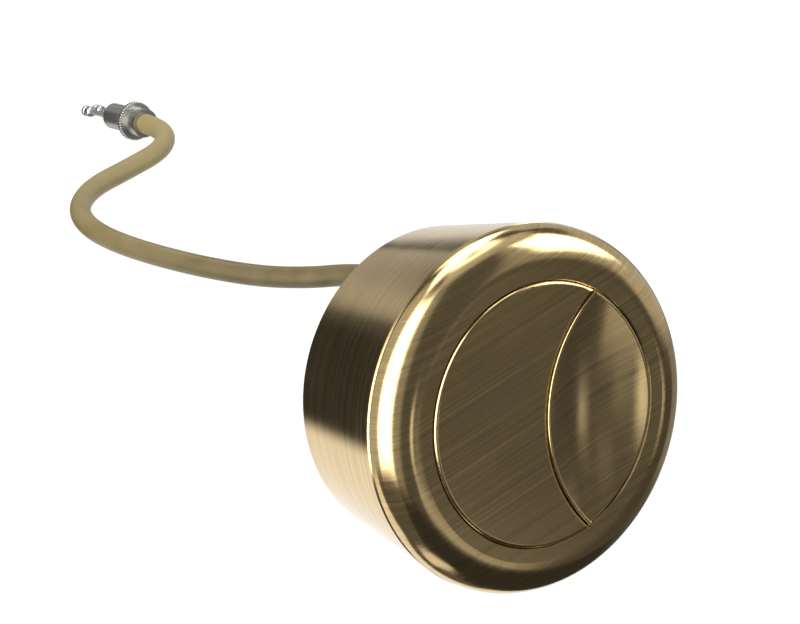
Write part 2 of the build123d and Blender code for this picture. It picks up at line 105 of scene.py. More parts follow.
class Graph:
    """Adds and links the nodes of one node tree."""

    def __init__(self, tree: NodeTree) -> None:
        """Takes a tree and empties it.

        Args:
            tree: The node tree to fill.
        """
        self.tree = tree
        tree.nodes.clear()

    def add(self, kind: str, inputs: dict[str | int, Any] | None = None, **settings: Any) -> Node:
        """Adds a node with its settings, values and links.

        Args:
            kind: Blender's name of the node type.
            inputs: Its inputs, as feed takes them.
            settings: Attributes of the node itself.

        Returns:
            The new node.
        """
        node = self.tree.nodes.new(kind)
        for name, value in settings.items():
            setattr(node, name, value)
        self.feed(node, inputs or {})
        return node

    def feed(self, node: Node, inputs: dict[str | int, Any]) -> None:
        """Sets or links the inputs of a node.

        Args:
            node: The node.
            inputs: For each socket's name or number, a value, or the socket that feeds it. A node stands
                for its first output.
        """
        for name, value in inputs.items():
            if isinstance(value, Node):
                value = value.outputs[0]
            if isinstance(value, NodeSocket):
                self.tree.links.new(value, node.inputs[name])
            else:
                node.inputs[name].default_value = value

    def noise(self, place: Any, scale: Any, detail: float, **more: float) -> Node:
        """Adds a noise texture.

        Args:
            place: The socket with the coordinates.
            scale: How fine it is.
            detail: How many finer layers it has.
            more: Its other inputs, by name.

        Returns:
            The node.
        """
        return self.add("ShaderNodeTexNoise", {"Vector": place, "Scale": scale, "Detail": detail, **more})

    def total(self, *terms: Any) -> Node:
        """Adds up numbers.

        Args:
            terms: Two or more numbers, nodes or sockets.

        Returns:
            The node with the sum.
        """
        whole = terms[0]
        for term in terms[1:]:
            whole = self.math("ADD", whole, term)
        return whole

    def math(self, operation: str, first: Any, second: Any) -> Node:
        """Adds a sum on two numbers.

        Args:
            operation: Blender's name of the operation.
            first: The first number, node or socket.
            second: The second one.

        Returns:
            The node with the answer.
        """
        return self.add("ShaderNodeMath", {0: first, 1: second}, operation=operation)

    def span(self, value: Any, low: Any, high: Any, to_low: Any, to_high: Any) -> Node:
        """Maps a number from one range to another, and keeps it inside.

        Args:
            value: The number, node or socket to map.
            low: Where the range starts.
            high: Where the range ends.
            to_low: What the start becomes.
            to_high: What the end becomes.

        Returns:
            The node with the mapped number.
        """
        return self.add("ShaderNodeMapRange", {0: value, 1: low, 2: high, 3: to_low, 4: to_high})

    def blend(self, share: Any, first: Colour, second: Colour) -> NodeSocket:
        """Mixes two colours.

        Args:
            share: How much of the second shows.
            first: The first colour.
            second: The second colour.

        Returns:
            The socket with the mixed colour.
        """
        sides = {0: share, 6: (*first, 1.0), 7: (*second, 1.0)}
        return self.add("ShaderNodeMix", sides, data_type="RGBA").outputs[2]


def new_group(name: str, inputs: dict[str, str],
              outputs: dict[str, str]) -> tuple[Graph, dict[str, Any], Node]:
    """Starts a shader node group.

    Args:
        name: The group's name.
        inputs: Names of its inputs, each with its kind of socket.
        outputs: Names of its outputs, each with its kind of socket.

    Returns:
        The graph to fill, the sockets of its inputs by name, and its output node.
    """
    tree = bpy.data.node_groups.new(name, "ShaderNodeTree")
    for way, sockets in (("INPUT", inputs), ("OUTPUT", outputs)):
        for title, kind in sockets.items():
            tree.interface.new_socket(title, in_out=way, socket_type="NodeSocket" + kind)
    graph = Graph(tree)
    given = graph.add("NodeGroupInput").outputs
    return graph, {title: given[title] for title in inputs}, graph.add("NodeGroupOutput")


class Effects:
    """The shader node groups that the finishes share."""

    def __init__(self) -> None:
        """Builds every group once."""
        self.streaks = self.build_streaks()
        self.grain = self.build_grain()
        self.marks = self.build_marks()

    @staticmethod
    def build_streaks() -> NodeTree:
        """Makes the lines that brushing or drawing leaves in metal.

        Returns:
            A group that stretches noise along one way: Tone for colour and gloss, Height for bump.
        """
        graph, sockets, out = new_group(
            "brushed_streaks", {"Vector": "Vector", "Stretch": "Vector"}, {"Tone": "Float", "Height": "Float"})
        run = graph.add("ShaderNodeVectorMath", {0: sockets["Vector"], 1: sockets["Stretch"]},
                        operation="MULTIPLY")
        lines = graph.span(graph.noise(run, 1.0, 3.0, Roughness=0.6), 0.28, 0.72, 0.0, 1.0)
        bands = graph.span(graph.noise(run, 0.23, 2.0), 0.3, 0.7, 0.0, 1.0)
        both = graph.total(graph.math("MULTIPLY", lines, 0.6), graph.math("MULTIPLY", bands, 0.4))
        graph.feed(out, {"Tone": both, "Height": lines})
        return graph.tree

    @staticmethod
    def build_grain() -> NodeTree:
        """Makes the fine skin of a moulded or foamed surface.

        Returns:
            A group with a cloudy Tone and a pebbled Height.
        """
        graph, sockets, out = new_group(
            "moulded_grain", {"Vector": "Vector", "Scale": "Float"}, {"Tone": "Float", "Height": "Float"})
        pebbles = graph.add("ShaderNodeTexVoronoi", {"Vector": sockets["Vector"], "Scale": sockets["Scale"]},
                            feature="SMOOTH_F1")
        cloud_scale = graph.math("MULTIPLY", sockets["Scale"], 0.12)
        cloud = graph.noise(sockets["Vector"], cloud_scale, 4.0)
        graph.feed(out, {"Tone": graph.span(cloud, 0.3, 0.7, 0.0, 1.0), "Height": pebbles})
        return graph.tree

    @staticmethod
    def build_marks() -> NodeTree:
        """Makes the faint smears that hands leave.

        Returns:
            A group whose Smear is near 0 where clean and near 1 where handled.
        """
        graph, sockets, out = new_group("handling_marks", {"Vector": "Vector"}, {"Smear": "Float"})
        cloud = graph.noise(sockets["Vector"], 95.0, 5.0, Distortion=0.8)
        graph.feed(out, {"Smear": graph.span(cloud, 0.42, 0.68, 0.0, 1.0)})
        return graph.tree


class Brush(Enum):
    """Which way metal is brushed."""

    STRAIGHT = "straight across the front"
    ROUND = "round the button's axis"
    ALONG = "along the button's axis"


def principled(name: str) -> tuple[Material, Graph, Node, NodeSocket]:
    """Starts a material.

    Args:
        name: The material's name.

    Returns:
        The material, its graph, its shader node, and its Object coordinates.
    """
    material = bpy.data.materials.new(name)
    material.use_nodes = True
    graph = Graph(material.node_tree)
    shader = graph.add("ShaderNodeBsdfPrincipled")
    graph.add("ShaderNodeOutputMaterial", {"Surface": shader})
    return material, graph, shader, graph.add("ShaderNodeTexCoord").outputs["Object"]


def relief(graph: Graph, height: NodeSocket, strength: float, depth: float) -> Node:
    """Turns heights into a bumpy surface.

    Args:
        graph: The material's graph.
        height: The socket with the heights.
        strength: How much of them shows.
        depth: How deep they are.

    Returns:
        The node for the shader's Normal.
    """
    return graph.add("ShaderNodeBump", {"Height": height, "Strength": strength, "Distance": depth})


@dataclass(frozen=True)
class BrushedMetal:
    """Metal with the lines of brushing or drawing in it.

    Attributes:
        name: The material's name.
        light: Its colour on the lines.
        dark: Its colour between them.
        brush: Which way it is brushed.
        gloss: Its lowest and highest roughness.
        stretch: Lines to the metre, along and across the brushing.
        depth: Depth of the lines.
        anisotropy: How far highlights are drawn out across the lines.
        angle: How far straight brushing rises towards +X, in degrees.
        handled: How much roughness the smears of hands add.
        bump: How much of the lines' depth shows.
    """

    name: str
    light: Colour
    dark: Colour
    brush: Brush
    gloss: tuple[float, float] = (0.1, 0.18)
    stretch: tuple[float, float] = (22.0, 3200.0)
    depth: float = 0.000009
    anisotropy: float = 0.4
    angle: float = 22.8
    handled: float = 0.03
    bump: float = 0.3

    def material(self, effects: Effects) -> Material:
        """Builds the material.

        Args:
            effects: The shared shader groups.

        Returns:
            The finished material.
        """
        material, graph, shader, place = principled(self.name)
        along, across = self.stretch
        turn = math.radians(self.angle) if self.brush is Brush.STRAIGHT else 0.0
        stretches = {Brush.STRAIGHT: (along, 0.0, across), Brush.ROUND: (along, across, along),
                     Brush.ALONG: (across, along, across)}
        pulls = {Brush.STRAIGHT: (-math.sin(turn), 0.0, math.cos(turn)), Brush.ROUND: Y_AXIS,
                 Brush.ALONG: (1.0, 0.0, 0.0)}
        run = graph.add("ShaderNodeVectorRotate", {"Vector": place, "Angle": turn}, rotation_type="Y_AXIS")
        streaks = graph.add("ShaderNodeGroup", node_tree=effects.streaks)
        graph.feed(streaks, {"Vector": run, "Stretch": stretches[self.brush]})
        marks = graph.add("ShaderNodeGroup", node_tree=effects.marks)
        graph.feed(marks, {"Vector": place})
        tone = streaks.outputs["Tone"]
        smear = graph.math("MULTIPLY", marks.outputs["Smear"], self.handled)
        pull = graph.add("ShaderNodeCombineXYZ", dict(enumerate(pulls[self.brush])))
        graph.feed(shader, {
            "Base Color": graph.blend(tone, self.dark, self.light),
            "Roughness": graph.total(graph.span(tone, 0.0, 1.0, *self.gloss), smear),
            "Normal": relief(graph, streaks.outputs["Height"], self.bump, self.depth),
            "Tangent": pull, "Metallic": 1.0, "Anisotropic": self.anisotropy})
        return material


@dataclass(frozen=True)
class MouldedSkin:
    """Plastic, rubber or foam with its moulded skin.

    Attributes:
        name: The material's name.
        light: Its colour where palest.
        dark: Its colour where darkest.
        gloss: Its lowest and highest roughness.
        grain: Pebbles to the metre.
        depth: Depth of the pebbles.
        specular: How strongly its surface reflects.
        sheen: How much soft sheen lies over it.
        painted_shade_span: Where along Y a painted shade gives way: the dark colour before the span, the light
            one past it.
        mottle: How much of the colour is left to the cloudy tone when a painted shade is laid on.
        bump: How much of the pebbles' depth shows.
    """

    name: str
    light: Colour
    dark: Colour
    gloss: tuple[float, float]
    grain: float
    depth: float
    specular: float = 0.5
    sheen: float = 0.0
    painted_shade_span: tuple[float, float] | None = None
    mottle: float = 0.2
    bump: float = 0.4

    def material(self, effects: Effects) -> Material:
        """Builds the material.

        Args:
            effects: The shared shader groups.

        Returns:
            The finished material.
        """
        material, graph, shader, place = principled(self.name)
        skin = graph.add("ShaderNodeGroup", node_tree=effects.grain)
        graph.feed(skin, {"Vector": place, "Scale": self.grain})
        tone = shade = skin.outputs["Tone"]
        # Painted shade: the colour goes from dark to light along Y across the span.
        if self.painted_shade_span:
            run = graph.add("ShaderNodeSeparateXYZ", {0: place}).outputs["Y"]
            painted_shade = graph.span(run, *self.painted_shade_span, 0.0, 1.0 - self.mottle)
            shade = graph.total(painted_shade, graph.math("MULTIPLY", tone, self.mottle))
        graph.feed(shader, {
            "Base Color": graph.blend(shade, self.dark, self.light),
            "Roughness": graph.span(tone, 0.0, 1.0, *self.gloss),
            "Normal": relief(graph, skin.outputs["Height"], self.bump, self.depth),
            "Specular IOR Level": self.specular, "Sheen Weight": self.sheen})
        return material


class Finishes:
    """Every material of the part, by its slot in the record."""

    BRASS_LIGHT: Colour = (0.76, 0.57, 0.29)
    BRASS_DARK: Colour = (0.47, 0.34, 0.155)
    STEEL_LIGHT: Colour = (0.66, 0.65, 0.63)
    STEEL_DARK: Colour = (0.45, 0.445, 0.43)

    def __init__(self) -> None:
        """Builds the shared groups and the materials."""
        self.effects = Effects()
        steel = {"light": self.STEEL_LIGHT, "dark": self.STEEL_DARK}
        brass = {"light": self.BRASS_LIGHT, "dark": self.BRASS_DARK}
        recipes = {
            "sleeve_brass": BrushedMetal("brass_brushed_round", **brass, brush=Brush.ROUND,
                                         gloss=(0.09, 0.17)),
            "bezel_brass": BrushedMetal("brass_brushed_bezel", **brass, brush=Brush.STRAIGHT),
            "cap_brass": BrushedMetal("brass_brushed_caps", **brass, brush=Brush.STRAIGHT, gloss=(0.12, 0.2)),
            "steel": BrushedMetal("steel_turned", **steel, brush=Brush.ROUND, gloss=(0.2, 0.34)),
            "spring_steel": BrushedMetal("steel_spring_wire", **steel, brush=Brush.ALONG, gloss=(0.22, 0.36)),
            "wire_steel": BrushedMetal("steel_drawn_wire", **steel, brush=Brush.ALONG, gloss=(0.25, 0.4)),
            "ferrule_metal": BrushedMetal("zinc_plated_ferrule", (0.63, 0.62, 0.58),
                                          (0.42, 0.41, 0.38), Brush.ROUND, (0.24, 0.38)),
            "plunger_plastic": MouldedSkin("acetal_plunger", (0.72, 0.71, 0.67), (0.63, 0.62, 0.58),
                                           (0.32, 0.42), 2600.0, 0.00002),
            "body_plastic": MouldedSkin("abs_body", (0.075, 0.078, 0.082), (0.055, 0.057, 0.06),
                                        (0.42, 0.55), 2200.0, 0.00003),
            "lever_plastic": MouldedSkin("nylon_lever", (0.19, 0.2, 0.21), (0.14, 0.15, 0.16),
                                         (0.36, 0.48), 2400.0, 0.00002),
            "black_rubber": MouldedSkin("black_rubber", (0.03, 0.03, 0.031), (0.018, 0.018, 0.019),
                                        (0.5, 0.66), 1800.0, 0.00003, 0.35, 0.05),
            "black_foam": MouldedSkin("black_foam", (0.05, 0.05, 0.052), (0.02, 0.02, 0.021),
                                      (0.8, 0.95), 900.0, 0.00015, 0.2, 0.1),
            # Painted shade: the jacket is painted dark near the button, up to 0.05 m along Y, and fades to its
            # light colour by 0.13 m.
            "cable_cream": MouldedSkin("cable_jacket", (0.48, 0.385, 0.165), (0.165, 0.12, 0.04),
                                       (0.36, 0.46), 1400.0, 0.00002, painted_shade_span=(0.05, 0.13)),
        }
        self.by_slot = {slot: recipe.material(self.effects) for slot, recipe in recipes.items()}


@dataclass(frozen=True)
class PhotoCamera:
    """The camera that the part is seen with.

    Attributes:
        lens: Focal length, in mm.
        sensor: Sensor width, in mm.
        pixels: Width of the picture, in pixels.
        yaw: How far the camera stands round towards -X, in degrees.
        elevation: How far it stands above the button's axis, in degrees.
        roll: How far it leans, in degrees.
        aim: A point of the part.
        offset: Where that point falls from the picture's centre, right and up, in pixels.
        depth: How far away that point is along the line of sight.
    """

    lens: float = 202.5
    sensor: float = 36.0
    pixels: float = 800.0
    yaw: float = 35.655
    elevation: float = 11.123
    roll: float = 0.829
    aim: Point = (0.0, -0.0375, 0.0)
    offset: tuple[float, float] = (145.40, -103.31)
    depth: float = 0.86629

    def build(self) -> Object:
        """Adds the camera and makes it the scene's own.

        Returns:
            The camera.
        """
        data = bpy.data.cameras.new("photo_camera")
        data.lens, data.sensor_width, data.sensor_fit = self.lens, self.sensor, "HORIZONTAL"
        data.clip_start, data.clip_end = 0.05, 60.0
        camera = place_object("photo_camera", data)
        back, yaw = direction(-self.yaw, self.elevation), math.radians(self.yaw)
        level = Vector((math.cos(yaw), -math.sin(yaw), 0.0))
        lean = Matrix.Rotation(math.radians(self.roll), 3, "Z")
        turn = Matrix((level, back.cross(level), back)).transposed() @ lean
        metres = self.depth * self.sensor / self.lens / self.pixels
        seen = Vector((self.offset[0] * metres, self.offset[1] * metres, -self.depth))
        camera.matrix_world = Matrix.Translation(Vector(self.aim) - turn @ seen) @ turn.to_4x4()
        bpy.context.scene.camera = camera
        LOG.info("camera: %.0f mm lens at %.3f m", self.lens, self.depth)
        return camera


class Workshop:
    """Adds pieces to the part and hands each its finish."""

    def __init__(self, nodes: dict[str, Object], finishes: Finishes) -> None:
        """Keeps what the pieces are made with.

        Args:
            nodes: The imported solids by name.
            finishes: The materials.
        """
        self.nodes = nodes
        self.finishes = finishes

    def dress(self, slot: str, *names: str) -> None:
        """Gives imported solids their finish.

        Args:
            slot: The record's slot.
            names: The solids.
        """
        for name in names:
            materials = self.nodes[name].data.materials
            materials.clear()
            materials.append(self.finishes.by_slot[slot])
            LOG.info("dressed %s in %s", name, slot)

    def add(self, name: str, data: ID, body: str, slot: str,
            stands_for: Sequence[str] = ()) -> Object:
        """Adds a piece that moves with a body.

        Args:
            name: The piece's name.
            data: Its mesh or curve.
            body: The body it moves with.
            slot: The record's slot it takes its finish from.
            stands_for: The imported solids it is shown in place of.

        Returns:
            The new object.
        """
        data.materials.clear()
        data.materials.append(self.finishes.by_slot[slot])
        piece = place_object(name, data)
        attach(piece, body)
        if stands_for:
            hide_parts(*stands_for)
        LOG.info("added %s on %s", name, body)
        return piece


class Recipe:
    """A Geometry Nodes tree that makes a mesh from named inputs."""

    def __init__(self, name: str, inputs: dict[str, str]) -> None:
        """Starts the tree.

        Args:
            name: The tree's name.
            inputs: Names of its inputs, each with its kind of socket.
        """
        self.tree = bpy.data.node_groups.new(name, "GeometryNodeTree")
        self.tree.interface.new_socket("Geometry", in_out="OUTPUT", socket_type="NodeSocketGeometry")
        self.keys: dict[str, str] = {}
        for title, kind in {**inputs, "Material": "Material"}.items():
            socket = self.tree.interface.new_socket(title, in_out="INPUT", socket_type="NodeSocket" + kind)
            self.keys[title] = socket.identifier
        self.graph = Graph(self.tree)
        self.sockets = self.graph.add("NodeGroupInput").outputs

    def close(self, geometry: Node) -> "Recipe":
        """Smooths what the tree makes, gives it its material and sends it out.

        Args:
            geometry: The node with the geometry.

        Returns:
            The recipe, ready to run.
        """
        whole = self.graph.add("GeometryNodeRealizeInstances", {0: geometry})
        smooth = self.graph.add("GeometryNodeSetShadeSmooth", {0: whole})
        dressed = self.graph.add("GeometryNodeSetMaterial", {0: smooth, "Material": self.sockets["Material"]})
        self.graph.add("NodeGroupOutput", {0: dressed})
        return self

    def sweep(self, path: Node, radius: Any, sides: int, capped: bool) -> Node:
        """Makes a round tube along a curve.

        Args:
            path: The node with the curve.
            radius: The tube's radius.
            sides: How many facets go round it.
            capped: Whether its ends are closed.

        Returns:
            The node with the tube.
        """
        ring = self.graph.add("GeometryNodeCurvePrimitiveCircle", {"Resolution": sides, "Radius": radius})
        return self.graph.add("GeometryNodeCurveToMesh", {0: path, 1: ring, "Fill Caps": capped})

    def along_y(self, geometry: Node, place: Any = (0.0, 0.0, 0.0)) -> Node:
        """Turns what stands along +Z to stand along +Y.

        Args:
            geometry: The node with the geometry.
            place: Where it then goes.

        Returns:
            The node with the turned geometry.
        """
        return self.graph.add("GeometryNodeTransform", {
            0: geometry, "Translation": place, "Rotation": (-math.pi / 2, 0.0, 0.0)})

    def mesh(self, name: str, **values: Any) -> Mesh:
        """Runs the tree.

        Args:
            name: The mesh's name.
            values: Its inputs, with underscores for spaces.

        Returns:
            The finished mesh.
        """
        maker = place_object(name, bpy.data.meshes.new(name + "_maker"))
        modifier = maker.modifiers.new("recipe", "NODES")
        modifier.node_group = self.tree
        for title, value in values.items():
            modifier[self.keys[title.replace("_", " ")]] = value
        graph = bpy.context.evaluated_depsgraph_get()
        made = bpy.data.meshes.new_from_object(maker.evaluated_get(graph), depsgraph=graph)
        maker.modifiers.remove(modifier)
        bpy.data.objects.remove(maker)
        made.name = name
        return made


def coil_recipe() -> Recipe:
    """Makes compression springs whose end turns lie closed.

    Returns:
        A recipe for a coil standing along +Y from the origin.
    """
    recipe = Recipe("coil_spring", {"Coil Radius": "Float", "Wire Radius": "Float",
                                    "Height": "Float", "Turns": "Float"})
    graph, sockets = recipe.graph, recipe.sockets
    coil = graph.add("GeometryNodeCurveSpiral", {
        "Resolution": 36, "Rotations": sockets["Turns"], "Start Radius": sockets["Coil Radius"],
        "End Radius": sockets["Coil Radius"], "Height": 0.0})
    along = graph.add("GeometryNodeSplineParameter").outputs["Factor"]
    closed = graph.math("DIVIDE", 1.0, sockets["Turns"])
    opening = graph.math("SUBTRACT", 1.0, closed)
    wire = graph.math("MULTIPLY", sockets["Wire Radius"], 2.0)
    rise = graph.math("SUBTRACT", sockets["Height"], graph.math("MULTIPLY", wire, 3.0))
    first = graph.span(along, 0.0, closed, 0.0, wire)
    middle = graph.span(along, closed, opening, 0.0, rise)
    last = graph.span(along, opening, 1.0, 0.0, wire)
    height = graph.total(first, middle, last, sockets["Wire Radius"])
    lift = graph.add("ShaderNodeCombineXYZ", {"Z": height})
    risen = graph.add("GeometryNodeSetPosition", {"Geometry": coil, "Offset": lift})
    return recipe.close(recipe.along_y(recipe.sweep(risen, sockets["Wire Radius"], sides=10, capped=True)))


def rib_recipe() -> Recipe:
    """Makes a row of rings that grow smaller along +Y.

    Returns:
        A recipe for rings round the Y axis.
    """
    recipe = Recipe("ring_row", {"Count": "Int", "Start": "Vector", "Step": "Vector", "First Radius": "Float",
                                 "Last Radius": "Float", "Thickness": "Float"})
    graph, sockets = recipe.graph, recipe.sockets
    line = graph.add("GeometryNodeMeshLine", {"Count": sockets["Count"], "Start Location": sockets["Start"],
                                              "Offset": sockets["Step"]}, mode="OFFSET")
    circle = graph.add("GeometryNodeCurvePrimitiveCircle", {"Resolution": 64, "Radius": 1.0})
    share = graph.math("DIVIDE", sockets["Thickness"], sockets["First Radius"])
    ring = recipe.sweep(circle, share, sides=14, capped=False)
    upright = graph.add("GeometryNodeTransform", {0: ring, "Rotation": (math.pi / 2, 0.0, 0.0)})
    number = graph.add("GeometryNodeInputIndex")
    most = graph.math("SUBTRACT", sockets["Count"], 1.0)
    size = graph.span(number, 0.0, most, sockets["First Radius"], sockets["Last Radius"])
    row = graph.add("GeometryNodeInstanceOnPoints", {"Points": line, "Instance": upright, "Scale": size})
    return recipe.close(row)


def strand_recipe() -> Recipe:
    """Makes a wire of strands laid round a core.

    Returns:
        A recipe for a wire along +Y from the origin.
    """
    recipe = Recipe("stranded_wire", {"Strands": "Int", "Strand Radius": "Float", "Lay Radius": "Float",
                                      "Length": "Float", "Turns": "Float"})
    graph, sockets = recipe.graph, recipe.sockets
    strand = graph.add("GeometryNodeCurveSpiral", {
        "Resolution": 20, "Rotations": sockets["Turns"], "Start Radius": sockets["Lay Radius"],
        "End Radius": sockets["Lay Radius"], "Height": sockets["Length"]})
    points = graph.add("GeometryNodeMeshLine", {"Count": sockets["Strands"], "Offset": (0.0, 0.0, 0.0)},
                       mode="OFFSET")
    number = graph.add("GeometryNodeInputIndex")
    turn = graph.math("DIVIDE", graph.math("MULTIPLY", number, 2.0 * math.pi), sockets["Strands"])
    spin = graph.add("ShaderNodeCombineXYZ", {"Z": turn})
    laid = graph.add("GeometryNodeInstanceOnPoints", {"Points": points, "Instance": strand, "Rotation": spin})
    far = graph.add("ShaderNodeCombineXYZ", {"Z": sockets["Length"]})
    core = graph.add("GeometryNodeCurvePrimitiveLine", {"End": far})
    bundle = graph.add("GeometryNodeJoinGeometry")
    for wires in (laid, core):
        graph.feed(bundle, {0: wires})
    whole = graph.add("GeometryNodeRealizeInstances", {0: bundle})
    return recipe.close(recipe.along_y(recipe.sweep(whole, sockets["Strand Radius"], sides=8, capped=True)))


def ridge_recipe() -> Recipe:
    """Makes a ring of ridges round the Y axis.

    Returns:
        A recipe for ridges standing round a place.
    """
    recipe = Recipe("ridge_ring", {"Count": "Int", "Radius": "Float", "Ridge Radius": "Float",
                                   "Length": "Float", "Place": "Vector"})
    graph, sockets = recipe.graph, recipe.sockets
    ring = graph.add("GeometryNodeMeshCircle", {"Vertices": sockets["Count"], "Radius": sockets["Radius"]})
    ridge = graph.add("GeometryNodeMeshCylinder", {"Vertices": 12, "Radius": sockets["Ridge Radius"],
                                                   "Depth": sockets["Length"]})
    set_out = graph.add("GeometryNodeInstanceOnPoints", {"Points": ring, "Instance": ridge})
    return recipe.close(recipe.along_y(set_out, sockets["Place"]))


def finished(name: str, shape: bmesh.types.BMesh) -> Mesh:
    """Turns a spun shape into a mesh that is smooth but for its corners.

    Args:
        name: The mesh's name.
        shape: The shape, which is freed.

    Returns:
        The mesh.
    """
    bmesh.ops.recalc_face_normals(shape, faces=shape.faces)
    mesh = bpy.data.meshes.new(name)
    shape.to_mesh(mesh)
    shape.free()
    mesh.shade_smooth()
    mesh.set_sharp_from_angle(angle=CORNER)
    return mesh


def turned(name: str, profile: Sequence[tuple[float, float]], x: float, z: float, steps: int) -> Mesh:
    """Turns a profile about an axis along Y.

    Args:
        name: The mesh's name.
        profile: Its radius and Y at each corner.
        x: Where the axis stands along X.
        z: Where the axis stands along Z.
        steps: How many facets go round.

    Returns:
        The mesh.
    """
    shape = bmesh.new()
    outline = [shape.verts.new((x + radius, y, z)) for radius, y in profile]
    edges = [shape.edges.new(pair) for pair in zip(outline, outline[1:])]
    bmesh.ops.spin(shape, geom=outline + edges, cent=(x, 0.0, z), axis=Y_AXIS, angle=2.0 * math.pi,
                   steps=steps, use_duplicate=False)
    bmesh.ops.remove_doubles(shape, verts=shape.verts, dist=1e-7)
    return finished(name, shape)


@dataclass
class PullCable:
    """The sheathed cable, its boot, and its far fitting with two wires.

    Attributes:
        route: The points its line follows, in mm.
        length: Its length; not used.
        diameter: Its thickness.
        boot_ribs: How many ribs its boot has.
        rib_start: Where the first rib's middle is.
        rib_step: From one rib to the next.
        rib_radii: Radius of the first and the last rib.
        rib_thickness: Half a rib's thickness.
        ridges: How many ridges the far fitting's collar has.
        ridge_ring: Radius of the ring they stand in.
        ridge_radius: Radius of each.
        ridge_length: Length of each.
        ridge_place: Where they are along Y.
        strands: How many strands lie round the core of each wire.
        strand_radius: Radius of each strand.
        lay_radius: How far from the core's middle they lie.
        lay_length: In what length they go round once.
        nipple_radius: Radius of the nipple on each wire.
        nipple_length: Length of that nipple.
        chamfer: How far its corners are cut back.
        groove: Where the groove round it starts, is deep, rises again and ends.
        groove_depth: How deep that groove is.
        nipple_facets: How many facets go round the nipple.
    """

    route: tuple[Point, ...] = (
        (0.0, 1.0, 19.0), (0.0, 19.0, 19.0), (-9.0, 39.0, 15.0), (-17.5, 59.0, 15.4),
        (-24.5, 82.0, 17.8), (-23.0, 97.5, 20.7), (-13.0, 109.5, 23.6), (2.5, 116.5, 26.3),
        (13.5, 121.5, 28.5), (19.0, 127.5, 30.6), (20.5, 135.5, 31.7), (20.5, 142.5, 31.7))
    length: float = 0.1695
    diameter: float = 0.0045
    boot_ribs: int = 4
    rib_start: Point = (0.0, 0.0013, 0.019)
    rib_step: Point = (0.0, 0.0027, 0.0)
    rib_radii: tuple[float, float] = (0.0054, 0.0036)
    rib_thickness: float = 0.00045
    ridges: int = 44
    ridge_ring: float = 0.0042
    ridge_radius: float = 0.00017
    ridge_length: float = 0.0011
    ridge_place: float = 0.1432
    strands: int = 6
    strand_radius: float = 0.0002
    lay_radius: float = 0.0004
    lay_length: float = 0.006
    nipple_radius: float = 0.0012
    nipple_length: float = 0.003
    chamfer: float = 0.0003
    groove: tuple[float, float, float, float] = (0.0009, 0.0011, 0.0019, 0.0021)
    groove_depth: float = 0.00018
    nipple_facets: int = 40

    def build(self, shop: Workshop) -> None:
        """Adds the cable and everything on it.

        Args:
            shop: Where pieces are made.
        """
        shop.dress("ferrule_metal", "end_ferrule")
        shop.dress("black_rubber", "strain_relief")
        ends = [self.wire_end(shop, side) for side in ("full", "half")]
        cable = shop.add("pull_cable", self.line(), "housing", "cable_cream", ("cable_sheath",))
        self.trim(shop)

    def line(self) -> Curve:
        """Draws the cable's line.

        Returns:
            A round curve through the route.
        """
        curve = bpy.data.curves.new("pull_cable", "CURVE")
        curve.dimensions = "3D"
        curve.bevel_depth = self.diameter / 2.0
        curve.bevel_resolution = 10
        curve.resolution_u = 24
        curve.use_fill_caps = True
        spline = curve.splines.new("NURBS")
        spline.points.add(len(self.route) - 1)
        for point, place in zip(spline.points, self.route):
            point.co = (*(MM * value for value in place), 1.0)
        spline.order_u = 3
        spline.use_endpoint_u = True
        return curve

    def trim(self, shop: Workshop) -> None:
        """Adds the ribs of the boot and the ridges that the far fitting is gripped by.

        Args:
            shop: Where pieces are made.
        """
        ribs = rib_recipe().mesh(
            "boot_ribs", Count=self.boot_ribs, Start=self.rib_start, Step=self.rib_step,
            First_Radius=self.rib_radii[0], Last_Radius=self.rib_radii[1], Thickness=self.rib_thickness,
            Material=shop.finishes.by_slot["black_rubber"])
        shop.add("boot_ribs", ribs, "housing", "black_rubber")
        x, _, z = (MM * value for value in self.route[-1])
        ridges = ridge_recipe().mesh(
            "ferrule_ridges", Count=self.ridges, Radius=self.ridge_ring, Ridge_Radius=self.ridge_radius,
            Length=self.ridge_length, Place=(x, self.ridge_place, z),
            Material=shop.finishes.by_slot["ferrule_metal"])
        shop.add("ferrule_ridges", ridges, "housing", "ferrule_metal")

    def wire_end(self, shop: Workshop, side: str) -> Object:
        """Adds one wire that leaves the far fitting, with its nipple.

        Args:
            shop: Where pieces are made.
            side: Which button draws it, full or half.

        Returns:
            The wire.
        """
        node = f"{side}_flush_wire_end"
        low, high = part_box(node)
        x, z = (low[0] + high[0]) / 2.0, (low[2] + high[2]) / 2.0
        seat = high[1] - self.nipple_length
        mesh = strand_recipe().mesh(
            node + "_strands", Strands=self.strands, Strand_Radius=self.strand_radius,
            Lay_Radius=self.lay_radius, Length=seat - low[1], Turns=(seat - low[1]) / self.lay_length,
            Material=shop.finishes.by_slot["wire_steel"])
        mesh.transform(Matrix.Translation((x, low[1], z)))
        radius, cut = self.nipple_radius, self.chamfer
        starts, deep, rises, ends = (seat + step for step in self.groove)
        core = radius - self.groove_depth
        nipple = turned(node + "_nipple", (
            (0.0, seat), (radius - cut, seat), (radius, seat + cut), (radius, starts), (core, deep),
            (core, rises), (radius, ends), (radius, high[1] - cut), (radius - cut, high[1]), (0.0, high[1])),
            x, z, self.nipple_facets)
        body = f"{side}_wire_end"
        wire = shop.add(f"{side}_stranded_wire", mesh, body, "wire_steel", (node,))
        shop.add(f"{side}_wire_nipple", nipple, body, "steel")
        return wire


